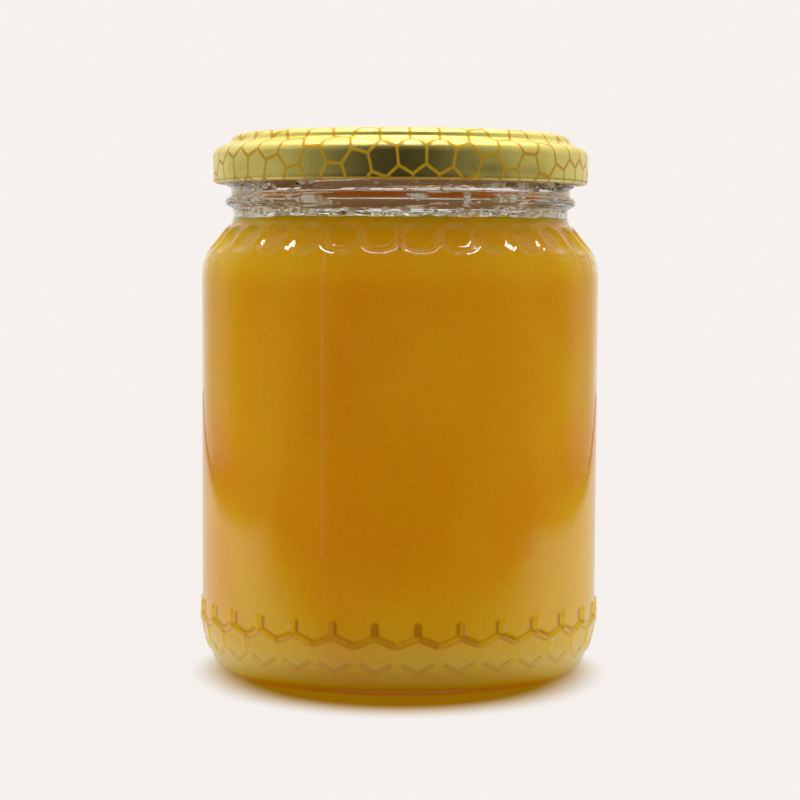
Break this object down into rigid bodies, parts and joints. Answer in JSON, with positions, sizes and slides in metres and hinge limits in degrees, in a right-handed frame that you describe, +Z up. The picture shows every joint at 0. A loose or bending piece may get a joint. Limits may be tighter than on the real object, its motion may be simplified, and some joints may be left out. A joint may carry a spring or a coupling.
{
  "type": "honey jar",
  "caption": "Round clear glass jar with a honeycomb relief, filled with set honey and closed by a stepped gold lug cap printed with hexagons.",
  "frame": {"origin": "centre of the ring the jar stands on, at the table", "axes": "+Z up along the jar's axis, -Y towards the front, +X to the right seen from the front"},
  "size_m": [0.078, 0.0778, 0.1042],
  "materials": {
    "clear_glass": "clear pressed soda-lime glass, smooth, with a honeycomb relief on shoulder and heel",
    "honey": "half-set amber honey, cloudy, paler where it has crystallised; gloss_plastic stands in for it",
    "gold_tinplate": "gold-lacquered bright tinplate with fine rolling marks and a printed ochre hexagon net"
  },
  "bodies": {
    "root": {"jar": "clear_glass", "honey": "honey", "lid": "gold_tinplate"}
  },
  "joints": []
}
